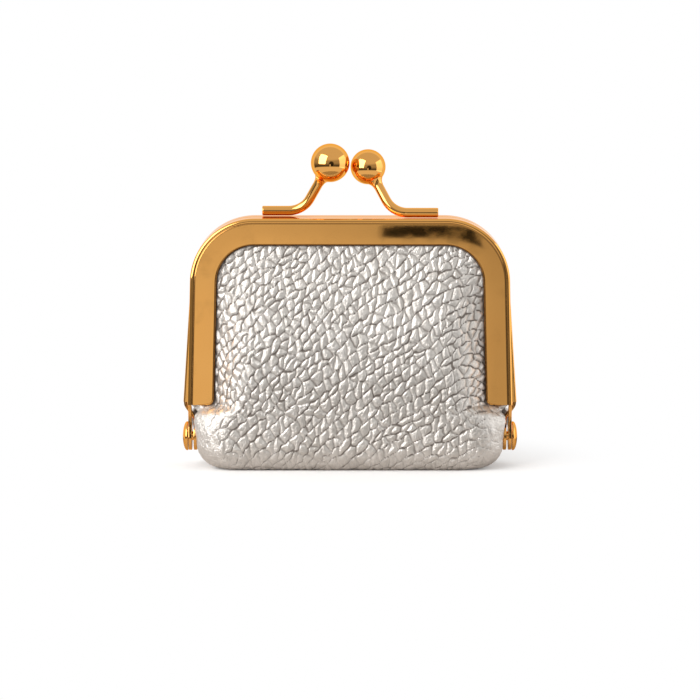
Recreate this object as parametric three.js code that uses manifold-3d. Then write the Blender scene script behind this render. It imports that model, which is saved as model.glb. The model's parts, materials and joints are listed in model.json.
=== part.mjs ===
// Ball-clasp jewelry pouch: two stamped brass frame halves that turn on two rivets, a clasp of two
// balls on bent wires, and a small leather bag with a stiffened lining glued into the frame channels.
// Millimetres, +Z up, front towards -Y, origin at the middle of the flat base the pouch stands on.
import * as THREE from "three";
import { mergeVertices } from "three/addons/utils/BufferGeometryUtils.js";
import Module from "manifold-3d";

const wasm = await Module();
wasm.setup();

// Frame halves: an arched channel of brass sheet, open towards the window
const SHEET = 0.8;
const CHANNEL_DEPTH = 5.2;
const SHOW_FLANGE = 6.2;
const INNER_FLANGE = 4.6;
const RIM_RADIUS = 0.9;
const PARTING_RADIUS = 0.4;
const PARTING_GAP = 0.3;
const CREST_HEIGHT = 58.5;
const FOOT_HEIGHT = 15;
const SHOULDER_HALF_WIDTH = 37.2;
const LEG_SPLAY = 0.7;
const BACK_LEG_PROUD = 1.15;
const CORNER_RADIUS = 15;
const FOOT_CORNER_RADIUS = 1.6;

// Hinge: one ear at each foot, the front pair outside the back pair, and a domed rivet through both
const HINGE_HEIGHT = 7;
const EAR_RADIUS = 3.3;
const EAR_WAIST = 2.3;
const EAR_GAP = 0.4;
const EAR_ROOT = 2;
const EAR_INSET = 0.1;
const SHANK_RADIUS = 1.05;
const SHANK_CLEARANCE = 0.1;
const RIVET_HEAD_RADIUS = 3.4;
const RIVET_HEAD_HEIGHT = 1.3;
const RIVET_HEAD_EDGE = 0.3;
const RIVET_TAIL_RADIUS = 1.9;
const RIVET_TAIL_HEIGHT = 0.6;
const SEAT_GAP = 0.1;

// Clasp: a ball on a bent wire brazed along the crest of each half
const WIRE_RADIUS = 1.12;
const WIRE_REACH = 20.5;
const WIRE_BEND = 3.4;
const WIRE_SLOPE = THREE.MathUtils.degToRad(61);
const FRONT_BALL_RADIUS = 4.1;
const BACK_BALL_RADIUS = 4.5;
const FRONT_BALL_RISE = 11.6;
const BACK_BALL_RISE = 12.7;
const BALL_PASSING_GAP = 0.2;
const BALL_LEAN = 1.2;
const BALL_BORE_DEPTH = 2.6;
const COLLAR_RADIUS = 1.9;
const COLLAR_LENGTH = 1.8;

// Bag: leather outside, board in the middle, lining inside
const LEATHER = 1;
const BOARD = 0.4;
const LINING = 0.4;
const PLY_GAP = 0.15;
const CORD_RADIUS = 0.5;
const BELLY_DEPTH = 10.4;
const TOP_RISE = 34;
const SIDE_RISE = 11;
const FOOT_SIDE_RISE = 8;
const FOOT_BLEND = 20;
const HINGE_CLEARANCE = 0.9;
const BASE_END_RADIUS = 6;
const BASE_EDGE_RADIUS = 3.5;
const BASE_CORNER_RADIUS = 8;
const SIDE_PINCH = 2.2;
const PINCH_REACH = 6;
const BOARD_MARGIN = 1.5;
const SPLIT_GAP = 0.3;

const FRONT = -1;
const BACK = 1;
const FRONT_FOOT_HALF_WIDTH = SHOULDER_HALF_WIDTH + LEG_SPLAY;
const BACK_FOOT_HALF_WIDTH = FRONT_FOOT_HALF_WIDTH + BACK_LEG_PROUD;
const PARTING_FACE = PARTING_GAP / 2;
const SHOW_FACE = PARTING_FACE + CHANNEL_DEPTH;
const SLOT_FRONT = SHOW_FACE - SHEET - PLY_GAP;
const PLY_EDGE = SHEET + PLY_GAP;
const WINDOW_TOP = CREST_HEIGHT - SHOW_FLANGE;
const LINING_OFFSET = LEATHER + PLY_GAP + BOARD + PLY_GAP;

// Colours of the finished pieces
const gold = new THREE.MeshStandardMaterial({ color: 0xd9a052, roughness: 0.12, metalness: 1 });
const silverLeather = new THREE.MeshStandardMaterial({ color: 0xc9c6c1, roughness: 0.35, metalness: 0.6 });
const liningCloth = new THREE.MeshStandardMaterial({ color: 0xb9b2a8, roughness: 0.9, metalness: 0 });
const greyBoard = new THREE.MeshStandardMaterial({ color: 0x9a9287, roughness: 0.95, metalness: 0 });
const paper = new THREE.MeshStandardMaterial({ color: 0xcdb893, roughness: 0.95, metalness: 0 });

const halves = {
  front: { side: FRONT, foot: FRONT_FOOT_HALF_WIDTH, ballRadius: FRONT_BALL_RADIUS, ballRise: FRONT_BALL_RISE },
  back: { side: BACK, foot: BACK_FOOT_HALF_WIDTH, ballRadius: BACK_BALL_RADIUS, ballRise: BACK_BALL_RISE },
};

// Solids from points

function closedGeometry(points, triangles) {
  const scratch = new THREE.Vector3();
  const volume = triangles.reduce(
    (sum, [a, b, c]) => sum + points[a].dot(scratch.crossVectors(points[b], points[c])),
    0,
  );
  const outward = volume < 0 ? triangles.map(([a, b, c]) => [a, c, b]) : triangles;
  const geometry = new THREE.BufferGeometry();
  const positions = points.flatMap((p) => [p.x, p.y, p.z]);
  geometry.setAttribute("position", new THREE.Float32BufferAttribute(positions, 3));
  geometry.setIndex(outward.flat());
  return geometry;
}

// Two triangles for each cell of a grid of points; `at` gives a point's number from its row and column.
function gridTriangles(rows, columns, at) {
  const triangles = [];
  for (let j = 0; j < rows; j++) {
    for (let i = 0; i < columns; i++) {
      triangles.push([at(j, i), at(j, i + 1), at(j + 1, i + 1)]);
      triangles.push([at(j, i), at(j + 1, i + 1), at(j + 1, i)]);
    }
  }
  return triangles;
}

// A contour carried along stations: each ring is the same closed contour, and both ends are capped.
function sweep(rings, contour) {
  const count = contour.length;
  const triangles = gridTriangles(rings.length - 1, count, (j, i) => j * count + (i % count));
  const last = (rings.length - 1) * count;
  const clockwise = THREE.ShapeUtils.isClockWise(contour);
  for (const [a, second, third] of THREE.ShapeUtils.triangulateShape(contour, [])) {
    const [b, c] = clockwise ? [third, second] : [second, third];
    triangles.push([a, c, b], [last + a, last + b, last + c]);
  }
  return closedGeometry(rings.flat(), triangles);
}

// A sheet with thickness: two matching grids of points, joined along their four edges.
function plySolid(outer, inner) {
  const rows = outer.length;
  const columns = outer[0].length;
  const size = rows * columns;
  const outerAt = (j, i) => j * columns + i;
  const innerAt = (j, i) => size + outerAt(j, i);
  const border = [];
  for (let i = 0; i < columns - 1; i++) border.push([0, i]);
  for (let j = 0; j < rows - 1; j++) border.push([j, columns - 1]);
  for (let i = columns - 1; i > 0; i--) border.push([rows - 1, i]);
  for (let j = rows - 1; j > 0; j--) border.push([j, 0]);
  const triangles = gridTriangles(rows - 1, columns - 1, outerAt);
  for (const [a, b, c] of gridTriangles(rows - 1, columns - 1, innerAt)) triangles.push([a, c, b]);
  border.forEach(([j, i], k) => {
    const [nextJ, nextI] = border[(k + 1) % border.length];
    triangles.push([outerAt(nextJ, nextI), outerAt(j, i), innerAt(j, i)]);
    triangles.push([outerAt(nextJ, nextI), innerAt(j, i), innerAt(nextJ, nextI)]);
  });
  return closedGeometry([...outer.flat(), ...inner.flat()], triangles);
}

function toSolid(geometry) {
  const bare = geometry.clone();
  bare.deleteAttribute("normal");
  bare.deleteAttribute("uv");
  const merged = mergeVertices(bare, 1e-4);
  const vertProperties = merged.attributes.position.array;
  return new wasm.Manifold(
    new wasm.Mesh({ numProp: 3, vertProperties, triVerts: new Uint32Array(merged.index.array) }),
  );
}

function toGeometry(solid) {
  const mesh = solid.getMesh();
  const geometry = new THREE.BufferGeometry();
  geometry.setAttribute("position", new THREE.Float32BufferAttribute(mesh.vertProperties, 3));
  geometry.setIndex(Array.from(mesh.triVerts));
  return geometry;
}

function arcPoints(centreX, centreY, radius, from, to, steps) {
  return Array.from({ length: steps + 1 }, (_, k) => {
    const angle = from + ((to - from) * k) / steps;
    return new THREE.Vector2(centreX + radius * Math.cos(angle), centreY + radius * Math.sin(angle));
  });
}

// Frame outline

// The rim's outer line seen from the front: splayed legs, round shoulders and a straight crest.
function rimLine(foot) {
  const shoulderHeight = CREST_HEIGHT - CORNER_RADIUS;
  const legHeight = shoulderHeight - FOOT_HEIGHT;
  const splay = Math.atan2(foot - SHOULDER_HALF_WIDTH, legHeight);
  const inset = (CORNER_RADIUS + legHeight * Math.sin(splay)) / Math.cos(splay);
  return { foot, splay, shoulderHeight, centreX: foot - inset };
}

// Half the width between the legs at a height, measured to a line that lies `offset` inside the rim.
function rimHalfWidth(line, height, offset) {
  const radius = CORNER_RADIUS - offset;
  const rise = height - line.shoulderHeight;
  if (rise > radius * Math.sin(line.splay)) {
    return line.centreX + Math.sqrt(Math.max(0, radius * radius - rise * rise));
  }
  const legX = line.foot - (height - FOOT_HEIGHT) * Math.tan(line.splay);
  return legX - offset / Math.cos(line.splay);
}

// Points along the rim from the left foot to the right one, each with its direction into the window.
function rimStations(line, arcSteps) {
  const legAngle = Math.PI - line.splay;
  const inward = new THREE.Vector2(-Math.cos(legAngle), -Math.sin(legAngle));
  const left = [{ point: new THREE.Vector2(-line.foot, FOOT_HEIGHT), inward }];
  const arc = arcPoints(-line.centreX, line.shoulderHeight, CORNER_RADIUS, legAngle, Math.PI / 2, arcSteps);
  for (const point of arc) {
    const towards = new THREE.Vector2(-line.centreX, line.shoulderHeight).sub(point).normalize();
    left.push({ point, inward: towards });
  }
  const right = left.map(({ point, inward: into }) => ({
    point: new THREE.Vector2(-point.x, point.y),
    inward: new THREE.Vector2(-into.x, into.y),
  }));
  return [...left, ...right.reverse()];
}

// A contour of (offset into the window, depth from the parting plane) carried along the rim.
function sweepRim(stations, side, contour) {
  const rings = stations.map(({ point, inward }) =>
    contour.map(({ x: offset, y: depth }) => {
      const place = point.clone().addScaledVector(inward, offset);
      return new THREE.Vector3(place.x, side * depth, place.y);
    }),
  );
  return sweep(rings, contour);
}

// Frame halves

const channelContour = [
  ...arcPoints(SHOW_FLANGE - SHEET / 2, SHOW_FACE - SHEET / 2, SHEET / 2, -Math.PI / 2, Math.PI / 2, 4),
  ...arcPoints(RIM_RADIUS, SHOW_FACE - RIM_RADIUS, RIM_RADIUS, Math.PI / 2, Math.PI, 5),
  ...arcPoints(PARTING_RADIUS, PARTING_FACE + PARTING_RADIUS, PARTING_RADIUS, Math.PI, 1.5 * Math.PI, 2),
  ...arcPoints(INNER_FLANGE - SHEET / 2, PARTING_FACE + SHEET / 2, SHEET / 2, -Math.PI / 2, Math.PI / 2, 4),
  new THREE.Vector2(SHEET, PARTING_FACE + SHEET),
  new THREE.Vector2(SHEET, SHOW_FACE - SHEET),
];

// What the press rounds off the show flange at the window corner of each foot.
function footCornerCutter(line, side, hand) {
  const past = SHEET;
  const low = new THREE.Vector2(SHOW_FLANGE - FOOT_CORNER_RADIUS, -past);
  const contour = [
    low,
    new THREE.Vector2(SHOW_FLANGE + past, -past),
    new THREE.Vector2(SHOW_FLANGE + past, FOOT_CORNER_RADIUS),
    ...arcPoints(low.x, FOOT_CORNER_RADIUS, FOOT_CORNER_RADIUS, 0, -Math.PI / 2, 5),
  ];
  const inward = new THREE.Vector2(Math.cos(line.splay), -Math.sin(line.splay));
  const upLeg = new THREE.Vector2(Math.sin(line.splay), Math.cos(line.splay));
  const rings = [SHOW_FACE - 1.5 * SHEET, SHOW_FACE + past].map((depth) =>
    contour.map(({ x: offset, y: along }) => {
      const place = new THREE.Vector2(-line.foot, FOOT_HEIGHT);
      place.addScaledVector(inward, offset).addScaledVector(upLeg, along);
      return new THREE.Vector3(-hand * place.x, side * depth, place.y);
    }),
  );
  return sweep(rings, contour);
}

// An ear's outline seen from the end of the hinge: root in the rim, narrow waist, round pad.
function earShape(side) {
  const rootInner = PARTING_FACE + PARTING_RADIUS;
  const rootOuter = SHOW_FACE - RIM_RADIUS;
  const rootTop = FOOT_HEIGHT + EAR_ROOT;
  const padTop = Math.acos(rootInner / EAR_RADIUS);
  const waistHeight = (HINGE_HEIGHT + EAR_RADIUS + FOOT_HEIGHT) / 2;
  const outline = [
    new THREE.Vector2(rootOuter, rootTop),
    new THREE.Vector2(rootInner, rootTop),
    ...arcPoints(0, HINGE_HEIGHT, EAR_RADIUS, padTop, 2 * Math.PI, 18),
  ];
  const shape = new THREE.Shape(outline.map(({ x, y }) => new THREE.Vector2(side * x, y)));
  const waist = side * (rootInner + EAR_WAIST - (rootOuter - rootInner - EAR_WAIST) / 2);
  shape.quadraticCurveTo(waist, waistHeight, side * rootOuter, FOOT_HEIGHT);
  return shape;
}

// A flat blank of that outline, standing across the hinge axis between two distances from the middle.
function earBlank(side, hand, near, far) {
  const blank = new THREE.ExtrudeGeometry(earShape(side), {
    depth: far - near,
    bevelEnabled: false,
    curveSegments: 6,
  });
  const across = new THREE.Matrix4().makeBasis(
    new THREE.Vector3(0, 1, 0),
    new THREE.Vector3(0, 0, 1),
    new THREE.Vector3(1, 0, 0),
  );
  return toSolid(blank.applyMatrix4(across).translate(hand > 0 ? near : -far, 0, 0));
}

const frontEarOuter = FRONT_FOOT_HALF_WIDTH - EAR_INSET;
const backEarOuter = frontEarOuter - SHEET - EAR_GAP;
// The front ears hang straight down from the rim.
function frontEar(hand) {
  return earBlank(FRONT, hand, frontEarOuter - SHEET, frontEarOuter);
}

// The back ears are joggled in from the rim's plane, so that they pass behind the front ears.
function backEar(hand) {
  const root = BACK_FOOT_HALF_WIDTH - EAR_INSET;
  const outer = [
    new THREE.Vector2(root, FOOT_HEIGHT + 2 * EAR_ROOT),
    new THREE.Vector2(root, FOOT_HEIGHT - SHEET / 2),
    new THREE.Vector2(backEarOuter, HINGE_HEIGHT + EAR_RADIUS),
    new THREE.Vector2(backEarOuter, HINGE_HEIGHT - 2 * EAR_RADIUS),
  ];
  const inner = outer.map(({ x, y }) => new THREE.Vector2(x - SHEET, y)).reverse();
  const contour = [...outer, ...inner];
  const rings = [-2 * SHOW_FACE, 2 * SHOW_FACE].map((y) =>
    contour.map(({ x, y: z }) => new THREE.Vector3(hand * x, y, z)),
  );
  const blank = earBlank(BACK, hand, backEarOuter - 2 * SHEET, root + SHEET);
  return blank.intersect(toSolid(sweep(rings, contour)));
}

function shankHole() {
  const length = 4 * BACK_FOOT_HALF_WIDTH;
  const radius = SHANK_RADIUS + SHANK_CLEARANCE;
  const hole = new THREE.CylinderGeometry(radius, radius, length, 20);
  return toSolid(hole.rotateZ(Math.PI / 2).translate(0, 0, HINGE_HEIGHT));
}

function frameGeometry(name, ear) {
  const { side, foot } = halves[name];
  const line = rimLine(foot);
  let frame = toSolid(sweepRim(rimStations(line, 9), side, channelContour));
  for (const hand of [-1, 1]) {
    frame = frame.add(ear(hand)).subtract(toSolid(footCornerCutter(line, side, hand)));
  }
  return toGeometry(frame.subtract(shankHole()));
}

// Hinge rivets

function rivetGeometry(hand) {
  const grip = frontEarOuter - (backEarOuter - SHEET) + 2 * SEAT_GAP;
  const dome = Array.from({ length: 7 }, (_, k) => {
    const angle = (Math.PI / 2) * (1 - k / 6);
    const crown = RIVET_HEAD_HEIGHT - RIVET_HEAD_EDGE;
    return new THREE.Vector2(RIVET_HEAD_RADIUS * Math.cos(angle), RIVET_HEAD_EDGE + crown * Math.sin(angle));
  });
  dome[0].x = 0;
  const profile = [
    ...dome,
    new THREE.Vector2(RIVET_HEAD_RADIUS, 0),
    new THREE.Vector2(SHANK_RADIUS, 0),
    new THREE.Vector2(SHANK_RADIUS, -grip),
    new THREE.Vector2(RIVET_TAIL_RADIUS, -grip),
    new THREE.Vector2(RIVET_TAIL_RADIUS * 0.8, -grip - RIVET_TAIL_HEIGHT),
    new THREE.Vector2(0, -grip - RIVET_TAIL_HEIGHT),
  ];
  const rivet = new THREE.LatheGeometry(profile.reverse(), 20);
  return toGeometry(toSolid(rivet.rotateZ((-hand * Math.PI) / 2)));
}

// Clasp

function claspLayout(name) {
  const { side, ballRadius, ballRise } = halves[name];
  const hand = -side;
  const ball = new THREE.Vector3(
    hand * (BALL_PASSING_GAP / 2 + ballRadius),
    -side * BALL_LEAN,
    CREST_HEIGHT + ballRise,
  );
  const wireHeight = CREST_HEIGHT + SEAT_GAP + WIRE_RADIUS;
  const wireY = side * (PARTING_FACE + CHANNEL_DEPTH / 2);
  const run = (ball.z - wireHeight) / Math.tan(WIRE_SLOPE);
  const end = new THREE.Vector3(hand * WIRE_REACH, wireY, wireHeight);
  const knee = new THREE.Vector3(ball.x + hand * run, wireY, wireHeight);
  const rising = ball.clone().sub(knee).normalize();
  return { ball, ballRadius, end, knee, rising };
}

// Places a lathed piece, made along +Y from its own origin, at a point and turned to a direction.
function alongDirection(geometry, origin, direction) {
  const turn = new THREE.Quaternion().setFromUnitVectors(new THREE.Vector3(0, 1, 0), direction);
  return geometry.applyQuaternion(turn).translate(origin.x, origin.y, origin.z);
}

function ballGeometry(name) {
  const { ball, ballRadius, rising } = claspLayout(name);
  const sphere = toSolid(new THREE.SphereGeometry(ballRadius, 20, 12));
  const boreRadius = WIRE_RADIUS + SEAT_GAP;
  const bore = new THREE.CylinderGeometry(boreRadius, boreRadius, 2 * ballRadius, 16);
  bore.translate(0, -2 * ballRadius + BALL_BORE_DEPTH, 0);
  const bored = sphere.subtract(toSolid(alongDirection(bore, new THREE.Vector3(), rising)));
  return toGeometry(bored).translate(ball.x, ball.y, ball.z);
}

function wireGeometry(name) {
  const { ball, ballRadius, end, knee, rising } = claspLayout(name);
  const level = end.clone().sub(knee).normalize();
  const bendStart = knee.clone().addScaledVector(level, WIRE_BEND);
  const bendEnd = knee.clone().addScaledVector(rising, WIRE_BEND);
  const tip = ball.clone().addScaledVector(rising, BALL_BORE_DEPTH - ballRadius - 3 * SEAT_GAP);
  const path = new THREE.CurvePath();
  path.add(new THREE.LineCurve3(end, bendStart));
  path.add(new THREE.QuadraticBezierCurve3(bendStart, knee, bendEnd));
  path.add(new THREE.LineCurve3(bendEnd, tip));
  const section = new THREE.Shape().absarc(0, 0, WIRE_RADIUS, 0, 2 * Math.PI);
  const wire = toSolid(
    new THREE.ExtrudeGeometry(section, { steps: 16, curveSegments: 5, extrudePath: path, bevelEnabled: false }),
  );
  const collar = new THREE.CylinderGeometry(COLLAR_RADIUS, WIRE_RADIUS * 0.9, COLLAR_LENGTH, 16);
  const collarPlace = ball.clone().addScaledVector(rising, -ballRadius - COLLAR_LENGTH / 4);
  const seat = new THREE.SphereGeometry(ballRadius + SEAT_GAP, 20, 12).translate(ball.x, ball.y, ball.z);
  const flare = toSolid(alongDirection(collar, collarPlace, rising)).subtract(toSolid(seat));
  return toGeometry(wire.add(flare));
}

// Bag panels held by the frame

const WINDOW_ROWS = 8;
const WINDOW_COLUMNS = 12;

function ease(share) {
  return Math.sin((Math.PI / 2) * THREE.MathUtils.clamp(share, 0, 1));
}

// How far the leather's outer face stands from the parting plane.
function bellyDepth(line, x, z) {
  const windowHalf = rimHalfWidth(line, Math.min(z, WINDOW_TOP), SHOW_FLANGE);
  const footShare = THREE.MathUtils.clamp((z - FOOT_HEIGHT) / FOOT_BLEND, 0, 1);
  const sideRise = THREE.MathUtils.lerp(FOOT_SIDE_RISE, SIDE_RISE, footShare);
  const swell = ease((windowHalf - Math.abs(x)) / sideRise) * ease((WINDOW_TOP - z) / TOP_RISE);
  return SLOT_FRONT + (BELLY_DEPTH - SLOT_FRONT) * swell;
}

// Rows of points over a panel: the window in even shares, then the edges that lie in the channel.
function panelGrid(line, side, plyOffset) {
  const bottom = FOOT_HEIGHT;
  const heights = Array.from(
    { length: WINDOW_ROWS + 1 },
    (_, k) => bottom + (WINDOW_TOP - bottom) * ease(k / WINDOW_ROWS),
  );
  heights.push((WINDOW_TOP + CREST_HEIGHT) / 2, CREST_HEIGHT - PLY_EDGE);
  return heights.map((z) => {
    const windowHalf = rimHalfWidth(line, Math.min(z, WINDOW_TOP), SHOW_FLANGE);
    const edgeHalf = rimHalfWidth(line, z, PLY_EDGE);
    const inner = Math.min(windowHalf, edgeHalf - PLY_GAP);
    const columns = Array.from({ length: WINDOW_COLUMNS + 1 }, (_, k) => (2 * k) / WINDOW_COLUMNS - 1);
    return [-edgeHalf, ...columns.map((share) => share * inner), edgeHalf].map(
      (x) => new THREE.Vector3(x, side * (bellyDepth(line, x, z) - plyOffset), z),
    );
  });
}

// The part of that grid inside the window, clear of the channel, where the stiffener lies.
function windowGrid(line, side, plyOffset) {
  return panelGrid(line, side, plyOffset)
    .slice(0, WINDOW_ROWS)
    .map((row) => row.slice(2, -2));
}

function panelPly(name, grid, plyOffset, thickness) {
  const { side, foot } = halves[name];
  const line = rimLine(foot);
  return plySolid(grid(line, side, plyOffset), grid(line, side, plyOffset + thickness));
}

// A twist of paper packed behind the lining, which jams the bag's edge in the channel.
function cordGeometry(name) {
  const { side, foot } = halves[name];
  const offset = SHEET + PLY_GAP + CORD_RADIUS;
  const depth = PARTING_FACE + SHEET + PLY_GAP + CORD_RADIUS;
  const section = arcPoints(offset, depth, CORD_RADIUS, 0, 1.75 * Math.PI, 7);
  return sweepRim(rimStations(rimLine(foot), 8), side, section);
}

// Base of the bag, below the frame

const FACE_COLUMNS = 6;
const arcAngles = [0, 1, 2, 3, 4].map((k) => (k * Math.PI) / 8);
const rivetTailEnd = backEarOuter - SHEET - SEAT_GAP - RIVET_TAIL_HEIGHT;
const BASE_HALF_WIDTH = rivetTailEnd - HINGE_CLEARANCE + SIDE_PINCH;
const steepestLeg = Math.max(...Object.values(halves).map(({ foot }) => rimLine(foot).splay));
const footDrop = SHOW_FLANGE * Math.sin(steepestLeg);
const BASE_TOP = FOOT_HEIGHT - footDrop - SPLIT_GAP;

// Half of the base's outline seen from above, from one side seam round the face to the other,
// drawn in by `inset` and tucked under by a share of its two edge radii.
function basePlan(inset, tuck) {
  const halfWidth = BASE_HALF_WIDTH - inset - tuck * (BASE_END_RADIUS - inset);
  const depthInset = inset + tuck * (BASE_EDGE_RADIUS - inset);
  const halfDepth = BELLY_DEPTH - depthInset;
  const corner = BASE_CORNER_RADIUS - depthInset;
  const cornerDepth = halfDepth - corner;
  const quarter = [
    new THREE.Vector2(halfWidth, PARTING_FACE),
    new THREE.Vector2(halfWidth, (PARTING_FACE + cornerDepth) / 2),
    ...arcPoints(halfWidth - corner, cornerDepth, corner, 0, Math.PI / 2, 5),
  ];
  const face = Array.from({ length: FACE_COLUMNS - 1 }, (_, k) => {
    const share = 1 - (2 * (k + 1)) / FACE_COLUMNS;
    return new THREE.Vector2(share * (halfWidth - corner), halfDepth);
  });
  return [...quarter, ...face, ...quarter.map(({ x, y }) => new THREE.Vector2(-x, y)).reverse()];
}

// The sides are pinched in towards the seam, where the hinge stands beside them.
function sidePinch(depth) {
  const share = Math.max(0, 1 - (depth / PINCH_REACH) ** 2);
  return SIDE_PINCH * share * share;
}

// Rows from the seam under the base, out over its rounded edge and up the wall, which draws in
// under the feet of the frame to meet the panel above.
function baseGrid(line, side, inset) {
  const place = (plan, z) =>
    plan.map(({ x, y: depth }) => new THREE.Vector3(x - Math.sign(x) * sidePinch(depth), side * depth, z));
  const ground = basePlan(inset, 1);
  const last = ground.length - 1;
  const seamHalf = ground[0].x - BOARD_MARGIN;
  const seam = ground.map((_, k) => new THREE.Vector2(seamHalf * (1 - (2 * k) / last), PARTING_FACE));
  const rows = [place(seam, inset)];
  for (const angle of arcAngles) {
    const z = BASE_END_RADIUS - (BASE_END_RADIUS - inset) * Math.cos(angle);
    rows.push(place(basePlan(inset, 1 - Math.sin(angle)), z));
  }
  const wall = basePlan(inset, 0);
  const neck = wall.map(({ x, y: depth }) => Math.min(depth, bellyDepth(line, x, FOOT_HEIGHT) - inset));
  for (const share of [0.5, 1]) {
    const drawn = wall.map(({ x, y: depth }, k) => {
      return new THREE.Vector2(x, THREE.MathUtils.lerp(depth, neck[k], share));
    });
    rows.push(place(drawn, THREE.MathUtils.lerp(BASE_END_RADIUS, BASE_TOP, share)));
  }
  return rows;
}

function basePly(name, inset, thickness) {
  const { side, foot } = halves[name];
  const line = rimLine(foot);
  return plySolid(baseGrid(line, side, inset), baseGrid(line, side, inset + thickness));
}

// The stiffener under the lining, one plate across the whole base.
function baseBoardGeometry() {
  const halfWidth = BASE_HALF_WIDTH - BASE_END_RADIUS - SIDE_PINCH - BOARD_MARGIN;
  const halfDepth = BELLY_DEPTH - BASE_EDGE_RADIUS;
  const corner = BASE_CORNER_RADIUS - BASE_EDGE_RADIUS;
  const outline = [
    ...arcPoints(halfWidth - corner, halfDepth - corner, corner, 0, Math.PI / 2, 4),
    ...arcPoints(corner - halfWidth, halfDepth - corner, corner, Math.PI / 2, Math.PI, 4),
    ...arcPoints(corner - halfWidth, corner - halfDepth, corner, Math.PI, 1.5 * Math.PI, 4),
    ...arcPoints(halfWidth - corner, corner - halfDepth, corner, 1.5 * Math.PI, 2 * Math.PI, 4),
  ];
  const plate = new THREE.ExtrudeGeometry(new THREE.Shape(outline), { depth: BOARD, bevelEnabled: false });
  return plate.translate(0, 0, LEATHER + PLY_GAP);
}

// Assembly

function piece(name, geometry, material) {
  const mesh = new THREE.Mesh(geometry, material);
  mesh.name = name;
  return mesh;
}

function halfGroup(name, ear) {
  const group = new THREE.Group();
  group.add(piece(`${name}_frame`, frameGeometry(name, ear), gold));
  group.add(piece(`${name}_clasp_wire`, wireGeometry(name), gold));
  group.add(piece(`${name}_clasp_ball`, ballGeometry(name), gold));
  group.add(piece(`${name}_leather_panel`, panelPly(name, panelGrid, 0, LEATHER), silverLeather));
  group.add(piece(`${name}_board`, panelPly(name, windowGrid, LEATHER + PLY_GAP, BOARD), greyBoard));
  group.add(piece(`${name}_lining_panel`, panelPly(name, panelGrid, LINING_OFFSET, LINING), liningCloth));
  group.add(piece(`${name}_channel_cord`, cordGeometry(name), paper));
  return group;
}

function baseGroup() {
  const group = new THREE.Group();
  for (const name of Object.keys(halves)) {
    group.add(piece(`${name}_leather_base`, basePly(name, 0, LEATHER), silverLeather));
    group.add(piece(`${name}_lining_base`, basePly(name, LINING_OFFSET, LINING), liningCloth));
  }
  group.add(piece("base_board", baseBoardGeometry(), greyBoard));
  for (const [word, hand] of [["left", -1], ["right", 1]]) {
    const rivet = piece(`hinge_rivet_${word}`, rivetGeometry(hand), gold);
    rivet.position.set(hand * (frontEarOuter + SEAT_GAP), 0, HINGE_HEIGHT);
    group.add(rivet);
  }
  return group;
}

const pouch = new THREE.Group();
pouch.add(baseGroup(), halfGroup("front", frontEar), halfGroup("back", backEar));

export default pouch;
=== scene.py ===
import json
import math

import bpy
import numpy as np
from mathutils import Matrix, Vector
from mathutils.kdtree import KDTree


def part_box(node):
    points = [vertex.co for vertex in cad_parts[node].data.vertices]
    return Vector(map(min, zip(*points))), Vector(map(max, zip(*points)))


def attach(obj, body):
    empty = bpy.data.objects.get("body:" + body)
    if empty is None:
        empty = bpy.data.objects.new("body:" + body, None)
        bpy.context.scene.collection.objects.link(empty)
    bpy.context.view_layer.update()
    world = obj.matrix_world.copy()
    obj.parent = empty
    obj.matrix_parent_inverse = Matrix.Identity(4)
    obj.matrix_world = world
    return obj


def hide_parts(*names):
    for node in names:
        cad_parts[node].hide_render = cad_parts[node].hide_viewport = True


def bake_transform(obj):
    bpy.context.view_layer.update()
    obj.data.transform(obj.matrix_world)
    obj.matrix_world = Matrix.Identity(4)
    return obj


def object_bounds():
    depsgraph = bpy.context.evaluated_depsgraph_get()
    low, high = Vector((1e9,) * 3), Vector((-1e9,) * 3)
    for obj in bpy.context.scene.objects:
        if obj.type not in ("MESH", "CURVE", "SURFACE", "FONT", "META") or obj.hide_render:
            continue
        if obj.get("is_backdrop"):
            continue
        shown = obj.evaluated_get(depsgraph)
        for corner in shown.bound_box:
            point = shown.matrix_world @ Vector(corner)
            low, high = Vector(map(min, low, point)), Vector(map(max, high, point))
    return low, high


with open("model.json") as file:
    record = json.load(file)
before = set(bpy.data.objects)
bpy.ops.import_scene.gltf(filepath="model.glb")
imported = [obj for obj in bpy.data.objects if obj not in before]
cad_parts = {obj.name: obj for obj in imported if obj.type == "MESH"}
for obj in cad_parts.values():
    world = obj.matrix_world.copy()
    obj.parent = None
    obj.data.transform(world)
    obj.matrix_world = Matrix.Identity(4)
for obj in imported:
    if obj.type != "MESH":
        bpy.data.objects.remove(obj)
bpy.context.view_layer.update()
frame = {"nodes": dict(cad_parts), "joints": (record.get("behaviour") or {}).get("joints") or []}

# The photographed view
# The pouch is seen almost square on, from a little above and a little under a metre away.
# The picture's scale and the row of the base place the camera.
MM = 0.001
PICTURE_SIDE = 700
PIXELS_PER_METRE = 4300
BASE_ROW = 470
CAMERA_DISTANCE = 900 * MM
CAMERA_ELEVATION = math.radians(7)
SENSOR_WIDTH = 36

show_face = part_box("front_frame")[0].y
aim = Vector((0, show_face, (BASE_ROW - PICTURE_SIDE / 2) / PIXELS_PER_METRE))
backwards = Vector((0, -math.cos(CAMERA_ELEVATION), math.sin(CAMERA_ELEVATION)))
camera_data = bpy.data.cameras.new("photograph")
camera_data.sensor_width = SENSOR_WIDTH
camera_data.lens = SENSOR_WIDTH * CAMERA_DISTANCE * PIXELS_PER_METRE / PICTURE_SIDE
camera = bpy.data.objects.new("photograph", camera_data)
camera.location = aim + backwards * CAMERA_DISTANCE
camera.rotation_euler = (math.pi / 2 - CAMERA_ELEVATION, 0, 0)
bpy.context.scene.collection.objects.link(camera)
bpy.context.scene.camera = camera

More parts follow.
